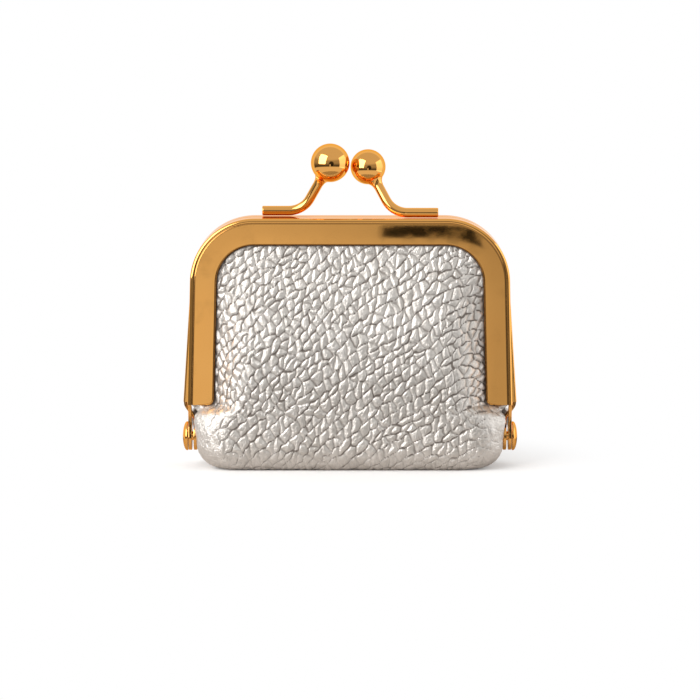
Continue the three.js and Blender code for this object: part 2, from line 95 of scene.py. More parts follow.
# Frame halves
# Each half is a strip of brass sheet, folded into a channel and bent into an arch, with a hinge ear
# left on each foot. It is polished and gold plated.
SHEET = 0.8 * MM
SHOW_FLANGE = 6.2 * MM
INNER_FLANGE = 4.6 * MM
RIM_RADIUS = 0.9 * MM
BEAD_RADIUS = 0.66 * MM
GROOVE = 0.1 * MM
GROOVE_SHADE = 0.85
PARTING_RADIUS = 0.4 * MM
PARTING_FACE = 0.15 * MM
CORNER_RADIUS = 15 * MM
FOOT_HEIGHT = 15 * MM
FOOT_CORNER = 1.6 * MM
SHOULDER_HALF_WIDTH = 37.2 * MM
LIP_EDGE = 0.45 * MM
EAR_RADIUS = 3.3 * MM
EAR_WAIST = 2.3 * MM
EAR_GAP = 0.4 * MM
EAR_INSET = 0.1 * MM
EAR_ROOT = 2 * MM
EAR_EDGE = 0.15 * MM
SHARP_ANGLE = math.radians(60)
HOLE_RADIUS = 1.15 * MM
GOLD = (0.90, 0.455, 0.125)
GOLD_SHADE = (0.86, 0.42, 0.11)
GOLD_EDGE_SHADE = (0.26, 0.11, 0.03)
GOLD_GLANCE = (1.0, 0.66, 0.31)

SIDES = {"front": -1, "back": 1}
show_depth = -show_face
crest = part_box("front_frame")[1].z
hinge = Vector(frame["joints"][0]["pos_m"])
foot_half_width = {half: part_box(f"{half}_frame")[1].x for half in SIDES}
front_ear = foot_half_width["front"] - EAR_INSET
back_ear = front_ear - SHEET - EAR_GAP


class Value:
    """A shader value. Arithmetic on it adds the Math nodes that work it out."""

    def __init__(self, nodes, socket):
        self.nodes = nodes
        self.socket = socket

    def math(self, operation, left, right=0.0):
        return self.nodes.add("Math", {"operation": operation}, {0: left, 1: right})

    def __add__(self, other):
        return self.math("ADD", self, other)

    __radd__ = __add__

    def __sub__(self, other):
        return self.math("SUBTRACT", self, other)

    def __rsub__(self, other):
        return self.math("SUBTRACT", other, self)

    def __mul__(self, other):
        return self.math("MULTIPLY", self, other)

    __rmul__ = __mul__

    def sine(self):
        return self.math("SINE", self)


class Nodes:
    """A node tree, and the one way to put a node into it."""

    def __init__(self, tree):
        self.tree = tree

    def add(self, kind, settings=None, sockets=None, output=0):
        node = self.tree.nodes.new("ShaderNode" + kind)
        for name, setting in (settings or {}).items():
            setattr(node, name, setting)
        for name, value in (sockets or {}).items():
            self.set(node.inputs[name], value)
        return Value(self, node.outputs[output])

    def set(self, socket, value):
        if isinstance(value, Value):
            self.tree.links.new(value.socket, socket)
        elif socket.type == "RGBA" and len(value) == 3:
            socket.default_value = (*value, 1)
        else:
            socket.default_value = value

    def mix(self, share, first, second):
        """Two colours, mixed by a share of the second."""
        return self.add("Mix", {"data_type": "RGBA"}, {0: share, 6: first, 7: second}, output=2)

    def span(self, value, low, high):
        """Where a value lies between two others, from 0 to 1, with soft ends."""
        sockets = {"Value": value, "From Min": low, "From Max": high}
        return self.add("MapRange", {"interpolation_type": "SMOOTHSTEP"}, sockets)

    def noise(self, place, scale, detail=2.0):
        return self.add("TexNoise", None, {"Vector": place, "Scale": scale, "Detail": detail})

    def stretch(self, place, scale):
        return self.add("Mapping", None, {"Vector": place, "Scale": scale})


class Finish(Nodes):
    """A surface finish: one Principled shader, with what varies over the surface fed to it."""

    def __init__(self, name):
        self.material = bpy.data.materials.new(name)
        self.material.use_nodes = True
        super().__init__(self.material.node_tree)
        self.shader = self.tree.nodes["Principled BSDF"]

    def feed(self, **values):
        for name, value in values.items():
            self.set(self.shader.inputs[name.replace("_", " ")], value)

    def place(self):
        return self.add("TexCoord", output="Object")

    def bump(self, height, distance):
        return self.add("Bump", None, {"Height": height, "Distance": distance})


def polished_gold():
    """Bright plating with faint waves and rub marks from polishing, with painted shade in dark brown along
    the lip's rounded edge and in the groove behind the bead.
    """
    gold = Finish("polished_gold")
    place = gold.place()
    edge = gold.add("Attribute", {"attribute_name": "painted_edge_shade"}, output="Fac")
    plating = gold.mix(gold.noise(place, 120), GOLD, GOLD_SHADE)
    waves = gold.noise(place, 70, 1.0)
    rubs = gold.noise(gold.stretch(place, (300, 300, 2600)), 1, 3.0)
    dulled = gold.span(gold.noise(place, 260, 3.0), 0.45, 0.75)
    # Painted shade: dark brown on the lip's rounded edge and in the groove behind the bead.
    gold.feed(
        Base_Color=gold.mix(edge, plating, GOLD_EDGE_SHADE),
        Metallic=1.0,
        Specular_Tint=GOLD_GLANCE,
        Roughness=0.035 + 0.025 * dulled + 0.05 * rubs * dulled + 0.15 * edge,
        Normal=gold.bump(waves, 0.012 * MM),
    )
    return gold.material


gold_finish = polished_gold()


def deselect():
    bpy.ops.object.select_all(action="DESELECT")


def start_chain(name, points):
    """One point, extruded from place to place into a chain of edges, left in edit mode and selected."""
    deselect()
    bpy.ops.mesh.primitive_plane_add(size=SHEET)
    piece = bpy.context.object
    piece.name = piece.data.name = name
    bpy.ops.object.mode_set(mode="EDIT")
    bpy.ops.mesh.select_all(action="SELECT")
    bpy.ops.mesh.merge(type="CENTER")
    bpy.ops.transform.translate(value=points[0])
    for here, there in zip(points, points[1:]):
        bpy.ops.mesh.extrude_vertices_move(TRANSFORM_OT_translate={"value": there - here})
    bpy.ops.mesh.select_all(action="SELECT")
    return piece


def push(step):
    bpy.ops.mesh.extrude_region_move(TRANSFORM_OT_translate={"value": step})


def bend(steps, angle, centre, axis):
    """Spins what is selected, right-handed about the axis; the operator itself turns the other way."""
    bpy.ops.mesh.spin(steps=steps, angle=-angle, center=centre, axis=axis)


def end_edit():
    """Leaves edit mode with doubles merged and faces pointing outwards."""
    bpy.ops.mesh.select_all(action="SELECT")
    bpy.ops.mesh.remove_doubles(threshold=MM / 1000)
    bpy.ops.mesh.normals_make_consistent(inside=False)
    bpy.ops.object.mode_set(mode="OBJECT")


def make_active(piece):
    deselect()
    piece.select_set(True)
    bpy.context.view_layer.objects.active = piece


def start_edit(piece, chosen=None):
    """Enters edit mode with the vertices selected whose places pass a test."""
    make_active(piece)
    bpy.ops.object.mode_set(mode="EDIT")
    bpy.ops.mesh.select_mode(type="VERT")
    bpy.ops.mesh.select_all(action="DESELECT")
    if chosen is not None:
        bpy.ops.object.mode_set(mode="OBJECT")
        for vertex in piece.data.vertices:
            vertex.select = bool(chosen(vertex.co))
        bpy.ops.object.mode_set(mode="EDIT")


def apply_modifier(piece, kind, **settings):
    make_active(piece)
    modifier = piece.modifiers.new(kind.lower(), kind)
    for name, value in settings.items():
        setattr(modifier, name, value)
    bpy.ops.object.modifier_apply(modifier=modifier.name)


def break_edges(piece, width, segments):
    """Bevels the sharp edges."""
    apply_modifier(
        piece, "BEVEL", width=width, segments=segments, limit_method="ANGLE", angle_limit=SHARP_ANGLE
    )


def combine(piece, other, operation):
    """A boolean of two closed pieces; the second is used up."""
    apply_modifier(piece, "BOOLEAN", object=other, operation=operation, solver="EXACT")
    bpy.data.objects.remove(other)


def round_off(piece, angle=35):
    """Smooth shading over the curves, with the flat faces left flat."""
    make_active(piece)
    bpy.ops.object.shade_smooth_by_angle(angle=math.radians(angle))
    apply_modifier(piece, "WEIGHTED_NORMAL", weight=100, keep_sharp=True)


def dress(piece, finish):
    piece.data.materials.clear()
    piece.data.materials.append(finish)


def arc(centre, radius, start, end, steps):
    """Points on a circle in a plane, between two angles in degrees."""
    angles = np.radians(np.linspace(start, end, steps + 1))
    return [(centre[0] + radius * math.cos(a), centre[1] + radius * math.sin(a)) for a in angles]


def rim_line(half):
    """The rim's outer line: its foot, the slope of its legs, and the middle of the shoulder's curve."""
    foot = foot_half_width[half]
    leg = crest - CORNER_RADIUS - FOOT_HEIGHT
    slope = math.atan2(foot - SHOULDER_HALF_WIDTH, leg)
    middle = foot - (CORNER_RADIUS + leg * math.sin(slope)) / math.cos(slope)
    return foot, slope, middle


def rim_offset(half, place):
    """How far a place lies inside the rim's outer line."""
    foot, slope, middle = rim_line(half)
    across = abs(place.x)
    above = place.z - (crest - CORNER_RADIUS)
    if across < middle:
        return CORNER_RADIUS - above
    if above < 0:
        return (foot - across) * math.cos(slope) - (place.z - FOOT_HEIGHT) * math.sin(slope)
    return CORNER_RADIUS - math.hypot(across - middle, above)


channel_section = [
    (INNER_FLANGE, PARTING_FACE),
    *arc((PARTING_RADIUS, PARTING_FACE + PARTING_RADIUS), PARTING_RADIUS, 270, 180, 4),
    *arc((BEAD_RADIUS, show_depth - BEAD_RADIUS), BEAD_RADIUS, 180, 60, 12),
    (1.5 * BEAD_RADIUS + GROOVE, show_depth - GROOVE / 2),
    (1.5 * BEAD_RADIUS + 2 * GROOVE, show_depth - GROOVE / 8),
    (1.5 * BEAD_RADIUS + 3 * GROOVE, show_depth),
    (SHOW_FLANGE, show_depth),
    (SHOW_FLANGE, show_depth - SHEET),
    *arc((RIM_RADIUS, show_depth - RIM_RADIUS), RIM_RADIUS - SHEET, 90, 180, 6),
    (SHEET, PARTING_FACE + SHEET),
    (INNER_FLANGE, PARTING_FACE + SHEET),
    (INNER_FLANGE, PARTING_FACE),
]


def channel_arch(half):
    """The folded channel: its section is drawn at the left foot and swept to the middle of the crest."""
    side = SIDES[half]
    foot, slope, middle = rim_line(half)
    inward = Vector((math.cos(slope), 0, -math.sin(slope)))
    start = Vector((-foot, 0, FOOT_HEIGHT))
    section = [start + inward * offset + Vector((0, side * depth, 0)) for offset, depth in channel_section]
    arch = start_chain(f"{half}_frame_arch", section)
    bpy.ops.mesh.remove_doubles(threshold=MM / 1000)
    shoulder = Vector((-middle, 0, crest - CORNER_RADIUS))
    push(shoulder - inward * CORNER_RADIUS - start)
    bend(32, math.pi / 2 - slope, shoulder, (0, 1, 0))
    push(Vector((middle, 0, 0)))
    end_edit()
    apply_modifier(arch, "MIRROR", use_clip=True)
    start_edit(arch)
    bpy.ops.mesh.select_all(action="SELECT")
    bpy.ops.mesh.fill_holes(sides=0)
    end_edit()
    toe = start + inward * SHOW_FLANGE

    def near_toe(place):
        return math.hypot(abs(place.x) + toe.x, place.z - toe.z) < PARTING_FACE

    start_edit(arch, near_toe)
    bpy.ops.mesh.bevel(offset=FOOT_CORNER, segments=8, affect="EDGES")
    bpy.ops.object.mode_set(mode="OBJECT")

    def at_lip(place):
        return abs(abs(place.y) - show_depth) < PARTING_FACE and rim_offset(half, place) > 2 * RIM_RADIUS

    start_edit(arch, at_lip)
    bpy.ops.mesh.bevel(offset=LIP_EDGE, segments=4, affect="EDGES")
    bpy.ops.object.mode_set(mode="OBJECT")
    return arch


def curve(start, pull, end, steps):
    """Points after the start of a curve that a third point pulls aside."""
    return [
        tuple((1 - t) ** 2 * a + 2 * t * (1 - t) * b + t * t * c for a, b, c in zip(start, pull, end))
        for t in np.linspace(0, 1, steps + 1)[1:]
    ]


def ear_outline(side):
    """An ear seen along the hinge: its root in the rim, a narrow waist, and a round pad."""
    root_inner = PARTING_FACE + PARTING_RADIUS
    root_outer = show_depth - RIM_RADIUS
    root_top = FOOT_HEIGHT + EAR_ROOT
    pad = arc((0, hinge.z), EAR_RADIUS, math.degrees(math.acos(root_inner / EAR_RADIUS)), 360, 40)
    waist_depth = root_inner + EAR_WAIST - (root_outer - root_inner - EAR_WAIST) / 2
    waist = (waist_depth, (pad[0][1] + FOOT_HEIGHT) / 2)
    edge = curve(pad[-1], waist, (root_outer, FOOT_HEIGHT), 12)
    outline = [(root_outer, root_top), (root_inner, root_top), *pad, *edge]
    return [Vector((0, side * depth, height)) for depth, height in outline]


def ramp(value, start, reach):
    """Rises from 0 to 1 over a reach from a start, with soft ends."""
    share = np.clip((value - start) / reach, 0, 1)
    return share * share * (3 - 2 * share)


def hinge_ear(half, hand):
    """One ear: a blank pierced for the rivet. A back ear is joggled to lie behind the front one."""
    pad = front_ear if half == "front" else back_ear
    root = foot_half_width[half] - EAR_INSET
    aside = Vector((hand * pad, 0, 0))
    ear = start_chain(f"{half}_ear", [place + aside for place in ear_outline(SIDES[half])])
    bpy.ops.mesh.edge_face_add()
    push(Vector((-hand * SHEET, 0, 0)))
    joggle_low = hinge.z + EAR_RADIUS
    joggle_high = FOOT_HEIGHT - SHEET / 2
    for height in np.linspace(joggle_low, joggle_high, 9):
        bpy.ops.mesh.select_all(action="SELECT")
        bpy.ops.mesh.bisect(plane_co=(0, 0, height), plane_no=(0, 0, 1))
    end_edit()
    for vertex in ear.data.vertices:
        vertex.co.x += hand * (root - pad) * ramp(vertex.co.z, joggle_low, joggle_high - joggle_low)
    break_edges(ear, EAR_EDGE, 2)
    deselect()
    bpy.ops.mesh.primitive_cylinder_add(
        vertices=40,
        radius=HOLE_RADIUS,
        depth=4 * SHEET,
        location=(hand * pad, 0, hinge.z),
        rotation=(0, math.pi / 2, 0),
    )
    combine(ear, bpy.context.object, "DIFFERENCE")
    return ear


def coordinates(piece):
    flat = np.empty(len(piece.data.vertices) * 3)
    piece.data.vertices.foreach_get("co", flat)
    return flat.reshape(-1, 3)


def set_attribute(piece, name, values):
    attribute = piece.data.attributes.get(name) or piece.data.attributes.new(name, "FLOAT", "POINT")
    attribute.data.foreach_set("value", np.asarray(values, np.float32))


def mark_edge_shade(arch, half):
    """Marks where shade is painted: the lip's rounded cut edge and the groove behind the rim's bead."""
    places = coordinates(arch)
    offsets = np.array([rim_offset(half, Vector(place)) for place in places])
    # Painted shade on the lip's rounding and, a little weaker, in the groove.
    lip = ramp(offsets, SHOW_FLANGE - LIP_EDGE, 0.6 * LIP_EDGE)
    groove_middle = 1.5 * BEAD_RADIUS + GROOVE / 2
    groove = (abs(offsets - groove_middle) < GROOVE) & (abs(places[:, 1]) > show_depth - 2 * GROOVE)
    set_attribute(arch, "painted_edge_shade", np.maximum(lip, GROOVE_SHADE * groove))


for half in SIDES:
    half_frame = channel_arch(half)
    for hand in (-1, 1):
        combine(half_frame, hinge_ear(half, hand), "UNION")
    half_frame.name = half_frame.data.name = f"{half}_frame_arch"
    round_off(half_frame)
    mark_edge_shade(half_frame, half)
    dress(half_frame, gold_finish)
    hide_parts(f"{half}_frame")
    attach(half_frame, f"{half}_half")

# Hinge rivets
# A solid brass rivet joins the ears at each foot: a domed head outside, a short shank through both
# ears, and a tail hammered over inside.
RIVET_HEAD_RADIUS = 3.4 * MM
RIVET_HEAD_HEIGHT = 1.3 * MM
RIVET_HEAD_EDGE = 0.3 * MM
RIVET_SHANK = 1.05 * MM
RIVET_TAIL_RADIUS = 1.9 * MM
RIVET_TAIL_HEIGHT = 0.6 * MM
SEAT_GAP = 0.1 * MM
FULL_TURN = 2 * math.pi

seat = front_ear + SEAT_GAP
tail = back_ear - SHEET - SEAT_GAP
crown = RIVET_HEAD_HEIGHT - RIVET_HEAD_EDGE
dome = [
    (seat + RIVET_HEAD_EDGE + crown * math.cos(a), RIVET_HEAD_RADIUS * math.sin(a))
    for a in np.linspace(0, math.pi / 2, 13)
]
hammered = arc((tail, 0), 1, 90, 180, 6)
profile = [
    *dome,
    (seat + RIVET_HEAD_EDGE / 3, RIVET_HEAD_RADIUS),
    (seat, RIVET_HEAD_RADIUS - RIVET_HEAD_EDGE / 3),
    (seat, RIVET_SHANK),
    (tail, RIVET_SHANK),
    *[(tail + (x - tail) * RIVET_TAIL_HEIGHT, r * RIVET_TAIL_RADIUS) for x, r in hammered],
]
for word, hand in (("left", -1), ("right", 1)):
    rivet = start_chain(f"{word}_rivet", [Vector((hand * x, 0, hinge.z + r)) for x, r in profile])
    bend(48, FULL_TURN, hinge, (1, 0, 0))
    end_edit()
    round_off(rivet)
    dress(rivet, gold_finish)
    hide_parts(f"hinge_rivet_{word}")
    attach(rivet, "base")

# Clasp wires
# Each is a round brass wire, brazed along the crest of its half and bent up to its ball, with a small
# cone of braze where it enters the ball.
WIRE_RADIUS = 1.12 * MM
WIRE_REACH = 20.5 * MM
WIRE_BEND = 3.4 * MM
WIRE_SLOPE = math.radians(61)
WIRE_END_EDGE = 0.25 * MM
BALL_BORE_DEPTH = 2.6 * MM
COLLAR_LINE = [(0.8 * MM, 1.25 * MM), (0.6 * MM, 1.5 * MM), (0.4 * MM, 1.9 * MM)]

clasp = {}
height = crest + SEAT_GAP + WIRE_RADIUS
for half, side in SIDES.items():
    low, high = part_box(f"{half}_clasp_ball")
    ball = (low + high) / 2
    radius = (high.z - low.z) / 2
    hand = -side
    row = side * (PARTING_FACE + show_depth) / 2
    knee = Vector((ball.x + hand * (ball.z - height) / math.tan(WIRE_SLOPE), row, height))
    rising = (ball - knee).normalized()
    level = Vector((-hand, 0, 0))
    clasp[half] = ball, radius, rising
    turn = level.angle(rising)
    bend_radius = WIRE_BEND / math.tan(turn / 2)
    upwards = (rising - level * rising.dot(level)).normalized()
    bend_start = knee - level * WIRE_BEND
    free_end = Vector((hand * WIRE_REACH, row, height))
    deselect()
    bpy.ops.mesh.primitive_circle_add(
        vertices=32, radius=WIRE_RADIUS, location=free_end, rotation=(0, math.pi / 2, 0)
    )
    wire = bpy.context.object
    wire.name = wire.data.name = f"{half}_wire"
    bpy.ops.object.transform_apply(location=True, rotation=True)
    bpy.ops.object.mode_set(mode="EDIT")
    bpy.ops.mesh.select_all(action="SELECT")
    push(bend_start - free_end)
    bend(20, turn, bend_start + upwards * bend_radius, level.cross(rising).normalized())
    mouth = ball - rising * (math.sqrt(radius**2 - COLLAR_LINE[-1][1] ** 2) + SEAT_GAP)
    flare = mouth - rising * sum(step for step, _ in COLLAR_LINE)
    push(flare - knee - rising * WIRE_BEND)
    width = WIRE_RADIUS
    for step, wider in COLLAR_LINE:
        push(rising * step)
        bpy.ops.transform.resize(value=[wider / width] * 3)
        width = wider
    bpy.ops.mesh.extrude_region_move()
    bpy.ops.transform.resize(value=[WIRE_RADIUS / width] * 3)
    tip = ball - rising * (radius - BALL_BORE_DEPTH + 3 * SEAT_GAP)
    push(tip - mouth)
    bpy.ops.mesh.select_all(action="SELECT")
    bpy.ops.mesh.fill_holes(sides=0)
    end_edit()
    break_edges(wire, WIRE_END_EDGE, 3)
    round_off(wire)
    dress(wire, gold_finish)
    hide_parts(f"{half}_clasp_wire")
    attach(wire, f"{half}_half")

# Clasp balls
# Two solid brass balls, turned and bored for their wires. They snap past each other to close the pouch.
BORE_RADIUS = 1.22 * MM

for half, (centre, radius, rising) in clasp.items():
    deselect()
    bpy.ops.mesh.primitive_uv_sphere_add(segments=64, ring_count=40, radius=radius)
    ball = bpy.context.object
    ball.name = ball.data.name = f"{half}_ball"
    ball.rotation_mode = "QUATERNION"
    ball.rotation_quaternion = Vector((0, 0, 1)).rotation_difference(rising)
    ball.location = centre
    bpy.ops.object.transform_apply(location=True, rotation=True)
    reach = math.sqrt(radius**2 - BORE_RADIUS**2)
    start_edit(ball, lambda place: (centre - place).dot(rising) > reach)
    push(rising * BALL_BORE_DEPTH)
    end_edit()
    round_off(ball)
    dress(ball, gold_finish)
    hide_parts(f"{half}_clasp_ball")
    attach(ball, f"{half}_half")

# Leather
# Each face of the bag is one piece of silver foiled, pebbled leather. Its edge is glued into the frame's
# channel, it bulges out of the window and round the base, and meets the other face in a seam underneath.
LEATHER = 0.8 * MM
PLY_GAP = 0.15 * MM
BELLY_DEPTH = 10.4 * MM
TOP_RISE = 34 * MM
SIDE_RISE = 11 * MM
FOOT_SIDE_RISE = 8 * MM
FOOT_BLEND = 20 * MM
BASE_HALF_WIDTH = 36.4 * MM
BASE_END_RADIUS = 6 * MM
BASE_EDGE_RADIUS = 3.5 * MM
BASE_CORNER_RADIUS = {"front": 8 * MM, "back": 5.5 * MM}
SIDE_PINCH = 2.2 * MM
PINCH_REACH = {"front": 6 * MM, "back": 4.7 * MM}
SEAM_MARGIN = 1.5 * MM
SEAM_LIFT = 0.35 * MM
SEAM_ROLL = 0.9 * MM
NECK_LOW = 12 * MM
SHOULDER_LOW = 8 * MM
SIDE_FLARE = {"front": 0.9 * MM, "back": 1.5 * MM}
WEAVE_STEP = 1.12 * MM

slot_front = show_depth - SHEET - PLY_GAP
ply_edge = SHEET + PLY_GAP
window_top = crest - SHOW_FLANGE


def ease(share):
    return np.sin(np.pi / 2 * np.clip(share, 0, 1))


def rim_half_width(half, height, offset):
    """Half the frame's width at a height, measured to a line inside its rim."""
    foot, slope, middle = rim_line(half)
    radius = CORNER_RADIUS - offset
    above = height - (crest - CORNER_RADIUS)
    if above < radius * math.sin(slope):
        return foot - (height - FOOT_HEIGHT) * math.tan(slope) - offset / math.cos(slope)
    return middle + math.sqrt(max(radius**2 - above**2, 0))


def belly_depth(half, across, height):
    """How far the leather's outer face stands from the parting plane."""
    window_half = rim_half_width(half, min(height, window_top), SHOW_FLANGE)
    climbed = np.clip((height - FOOT_HEIGHT) / FOOT_BLEND, 0, 1)
    side_rise = FOOT_SIDE_RISE + (SIDE_RISE - FOOT_SIDE_RISE) * climbed
    swell = ease((window_half - across) / side_rise) * ease((window_top - height) / TOP_RISE)
    return slot_front + (BELLY_DEPTH - slot_front) * swell


def spaced(line, count):
    """Points at even steps along a line of points."""
    steps = np.linalg.norm(np.diff(line, axis=0), axis=1)
    along = np.concatenate([[0], np.cumsum(steps)])
    even = np.linspace(0, along[-1], count)
    return np.stack([np.interp(even, along, part) for part in line.T], axis=1)


def panel_section(half, height):
    """Half of the level section through the framed part, from the middle to the edge in the channel."""
    across = np.linspace(0, rim_half_width(half, height, ply_edge), 160)
    return np.stack([across, belly_depth(half, across, height)], axis=1)


def base_section(half, tuck):
    """Half of the level section through the base, drawn in by a share of its two edge radii."""
    half_width = BASE_HALF_WIDTH - tuck * BASE_END_RADIUS
    half_depth = BELLY_DEPTH - tuck * BASE_EDGE_RADIUS
    corner = BASE_CORNER_RADIUS[half] - tuck * BASE_EDGE_RADIUS
    line = np.array([
        (0, half_depth),
        *arc((half_width - corner, half_depth - corner), corner, 90, 0, 40),
        (half_width, PARTING_FACE),
    ])
    line = spaced(line, 400)
    share = np.clip(1 - (line[:, 1] / PINCH_REACH[half]) ** 2, 0, 1)
    line[:, 0] -= SIDE_PINCH * share**2 * ramp(line[:, 0], 0, half_width)
    return line


def bag_sections(half):
    """Level sections from the seam under the base to the edge in the channel, each with its height."""
    ground = base_section(half, 1)
    seam = np.full_like(ground, PARTING_FACE)
    seam[:, 0] = np.linspace(0, ground[-1, 0] - SEAM_MARGIN, len(ground))
    reach = BELLY_DEPTH - BASE_EDGE_RADIUS
    for depth in np.arange(0, reach, WEAVE_STEP):
        yield seam + (ground - seam) * depth / reach, SEAM_LIFT * math.exp(-((depth / SEAM_ROLL) ** 2))
    for angle in np.linspace(0, np.pi / 2, 8, endpoint=False):
        yield base_section(half, 1 - math.sin(angle)), BASE_END_RADIUS * (1 - math.cos(angle))
    wall = spaced(base_section(half, 0), 400)
    foot = spaced(panel_section(half, FOOT_HEIGHT), 400)
    for height in np.arange(BASE_END_RADIUS, FOOT_HEIGHT, WEAVE_STEP):
        flare = SIDE_FLARE[half] * ramp(height, BASE_END_RADIUS, NECK_LOW - BASE_END_RADIUS)
        wide = wall * (1 + flare / BASE_HALF_WIDTH, 1)
        narrowing = np.clip((height - NECK_LOW) / (FOOT_HEIGHT - NECK_LOW), 0, 1) ** 2
        thinning = ramp(height, SHOULDER_LOW, FOOT_HEIGHT - SHOULDER_LOW)
        yield wide + (foot - wide) * (narrowing, thinning), height
    for height in np.arange(FOOT_HEIGHT, crest - ply_edge, WEAVE_STEP):
        yield panel_section(half, height), height
    yield panel_section(half, crest - ply_edge), crest - ply_edge


def bag_grid(half, columns):
    """Rows of places over one face of the bag, and how far each lies across and up the flat leather."""
    rows = []
    across = []
    for section, height in bag_sections(half):
        right = spaced(section, columns // 2 + 1)
        places = np.stack([right[:, 0], SIDES[half] * right[:, 1], np.full(len(right), height)], axis=1)
        rows.append(np.concatenate([places[:0:-1] * (-1, 1, 1), places]))
        length = np.linalg.norm(np.diff(section, axis=0), axis=1).sum()
        across.append(np.linspace(-length, length, columns + 1))
    rows = np.array(rows)
    climb = np.linalg.norm(np.diff(rows[:, columns // 2], axis=0), axis=1)
    up = np.concatenate([[0], np.cumsum(climb)])
    return rows, np.array(across), np.repeat(up[:, None], columns + 1, axis=1)


def set_coordinates(piece, places):
    piece.data.vertices.foreach_set("co", places.ravel())
    piece.data.update()


def normals(piece):
    flat = np.empty(len(piece.data.vertices) * 3)
    piece.data.vertex_normals.foreach_get("vector", flat)
    return flat.reshape(-1, 3)


def get_attribute(piece, name):
    values = np.empty(len(piece.data.vertices))
    piece.data.attributes[name].data.foreach_get("value", values)
    return values


def sheet_of(name, rows):
    """A grid whose points are moved to rows of places, with its faces turned out of the bag."""
    last_row = rows.shape[0] - 1
    last_column = rows.shape[1] - 1
    deselect()
    bpy.ops.mesh.primitive_grid_add(x_subdivisions=last_column, y_subdivisions=last_row, size=1)
    piece = bpy.context.object
    piece.name = piece.data.name = name
    flat = coordinates(piece)
    column = np.rint((flat[:, 0] + 0.5) * last_column).astype(int)
    row = np.rint((flat[:, 1] + 0.5) * last_row).astype(int)
    set_coordinates(piece, rows[row, column])
    half_up, half_across = np.array(rows.shape[:2]) // 2
    middle = rows[half_up, half_across]
    facing = np.cross(rows[half_up, half_across + 1] - middle, rows[half_up + 1, half_across] - middle)
    if facing[1] * middle[1] < 0:
        piece.data.flip_normals()
    return piece, row, column


COLUMNS = 94
INNER_RATIO = 0.53
UP_TO_FOOT = 8.5 * MM
ROW_SLOPE = 41
SLOPE_LOSS = 0.37
TOP_LEFT_LOSS = 14
RIGHT_LOSS = 50
ROW_SPACING = 1.85 * MM
ROW_CLEARANCE = 0.72
START_CLEARANCE = 0.95
START_STRIDE = 6
SPARE_STARTS = 1500
ROW_STEP = 0.35 * MM
SWAY = 25
PEBBLE_LENGTH = 2.05 * MM
PEBBLE_JITTER = 0.35 * MM
PEBBLE_RISE = 0.36 * MM
PEBBLE_LEVEL = 0.6
PEBBLE_SHOULDER = 1.0 * MM
PEBBLE_NARROW = 1.7
CROSS_LEAN = math.radians(66)
CROSS_FIRMNESS = 0.5
CREASE_WIDTH = 0.28 * MM
CREASE_WOBBLE = 0.3 * MM
SWELL = 0.12 * MM
SMOOTH_CORNER = 0.74
CORNER_START = 24 * MM
CORNER_SPREAD = 13 * MM
CORNER_TOP = 18 * MM
CORNER_FADE = 8 * MM
SMOOTH_BASE = 0.45
BASE_FADE = 4 * MM
# Reaches of the painted shade beside the lip and in the side folds by the hinges.
LIP_SHADE = 0.5 * MM
FOLD_START = 33.5 * MM
FOLD_DEPTH = 4.4 * MM
FOLD_SOFT = 1.2 * MM


def wander(chance, waves, shortest, longest):
    """A smooth random field over the flat leather, between about -1 and 1, as a sum of plane waves."""
    lengths = chance.uniform(shortest, longest, waves)
    turns = chance.uniform(0, FULL_TURN, (2, waves))
    pull = FULL_TURN / lengths * np.array([np.cos(turns[0]), np.sin(turns[0])])

    def field(across, up):
        total = 0.0
        for k in range(waves):
            total = total + np.sin(pull[0, k] * across + pull[1, k] * up + turns[1, k])
        return total * 1.4 / waves

    return field


def row_heading(across, up):
    """Degrees up from level of the pebbles' rows: steep at the left, turning down at the right."""
    top_left = TOP_LEFT_LOSS * ramp(up - UP_TO_FOOT, 30 * MM, 15 * MM) * ramp(-across, 10 * MM, 15 * MM)
    return ROW_SLOPE - SLOPE_LOSS * across / MM - top_left - RIGHT_LOSS * ramp(across, 22 * MM, 14 * MM)


class PebbleRows:
    """Rows of pebbles over the flat leather: lines side by side that follow a heading."""

    def __init__(self, low, high):
        self.low = low
        self.high = high
        self.taken = {}

    def bucket(self, place):
        return tuple((place // ROW_SPACING).astype(int))

    def clear(self, place, distance):
        """Whether a place is on the leather and no row's point lies within a distance of it."""
        if (place < self.low).any() or (place > self.high).any():
            return False
        i, j = self.bucket(place)
        others = [p for u in (-1, 0, 1) for v in (-1, 0, 1) for p in self.taken.get((i + u, j + v), ())]
        return all(math.dist(place, other) > distance for other in others)

    def follow(self, start, heading, sense):
        """Places along the heading from a start, until another row is near or the leather ends."""
        places = []
        place = start
        while True:
            angle = heading(*place)
            place = place + sense * ROW_STEP * np.array([math.cos(angle), math.sin(angle)])
            if not self.clear(place, ROW_CLEARANCE * ROW_SPACING):
                return places
            places.append(place)

    def pebbles(self, chance, heading):
        """Draws the rows, each giving the starts of its neighbours, and cuts them into pebbles.

        Returns each pebble's middle and the number of its row.
        """
        row_count = 0
        middles = []
        spare = chance.uniform(self.low, self.high, (SPARE_STARTS, 2))
        starts = [(self.low + self.high) / 2, *spare]
        while starts:
            start = starts.pop(0)
            if not self.clear(start, START_CLEARANCE * ROW_SPACING):
                continue
            ahead = self.follow(start, heading, 1)
            behind = self.follow(start, heading, -1)
            row = [*behind[::-1], start, *ahead]
            for place in row:
                self.taken.setdefault(self.bucket(place), []).append(place)
            along = chance.uniform(0, PEBBLE_LENGTH)
            while along < len(row) * ROW_STEP:
                jitter = chance.uniform(-PEBBLE_JITTER, PEBBLE_JITTER, 2)
                middles.append((*row[int(along / ROW_STEP)] + jitter, row_count))
                along += PEBBLE_LENGTH * chance.uniform(0.55, 1.5)
            row_count += 1
            for place in row[::START_STRIDE]:
                angle = heading(*place)
                spacing = ROW_SPACING * chance.uniform(1.0, 1.12)
                beside = spacing * np.array([-math.sin(angle), math.cos(angle)])
                starts[:0] = [place + beside, place - beside]
        return np.array(middles)


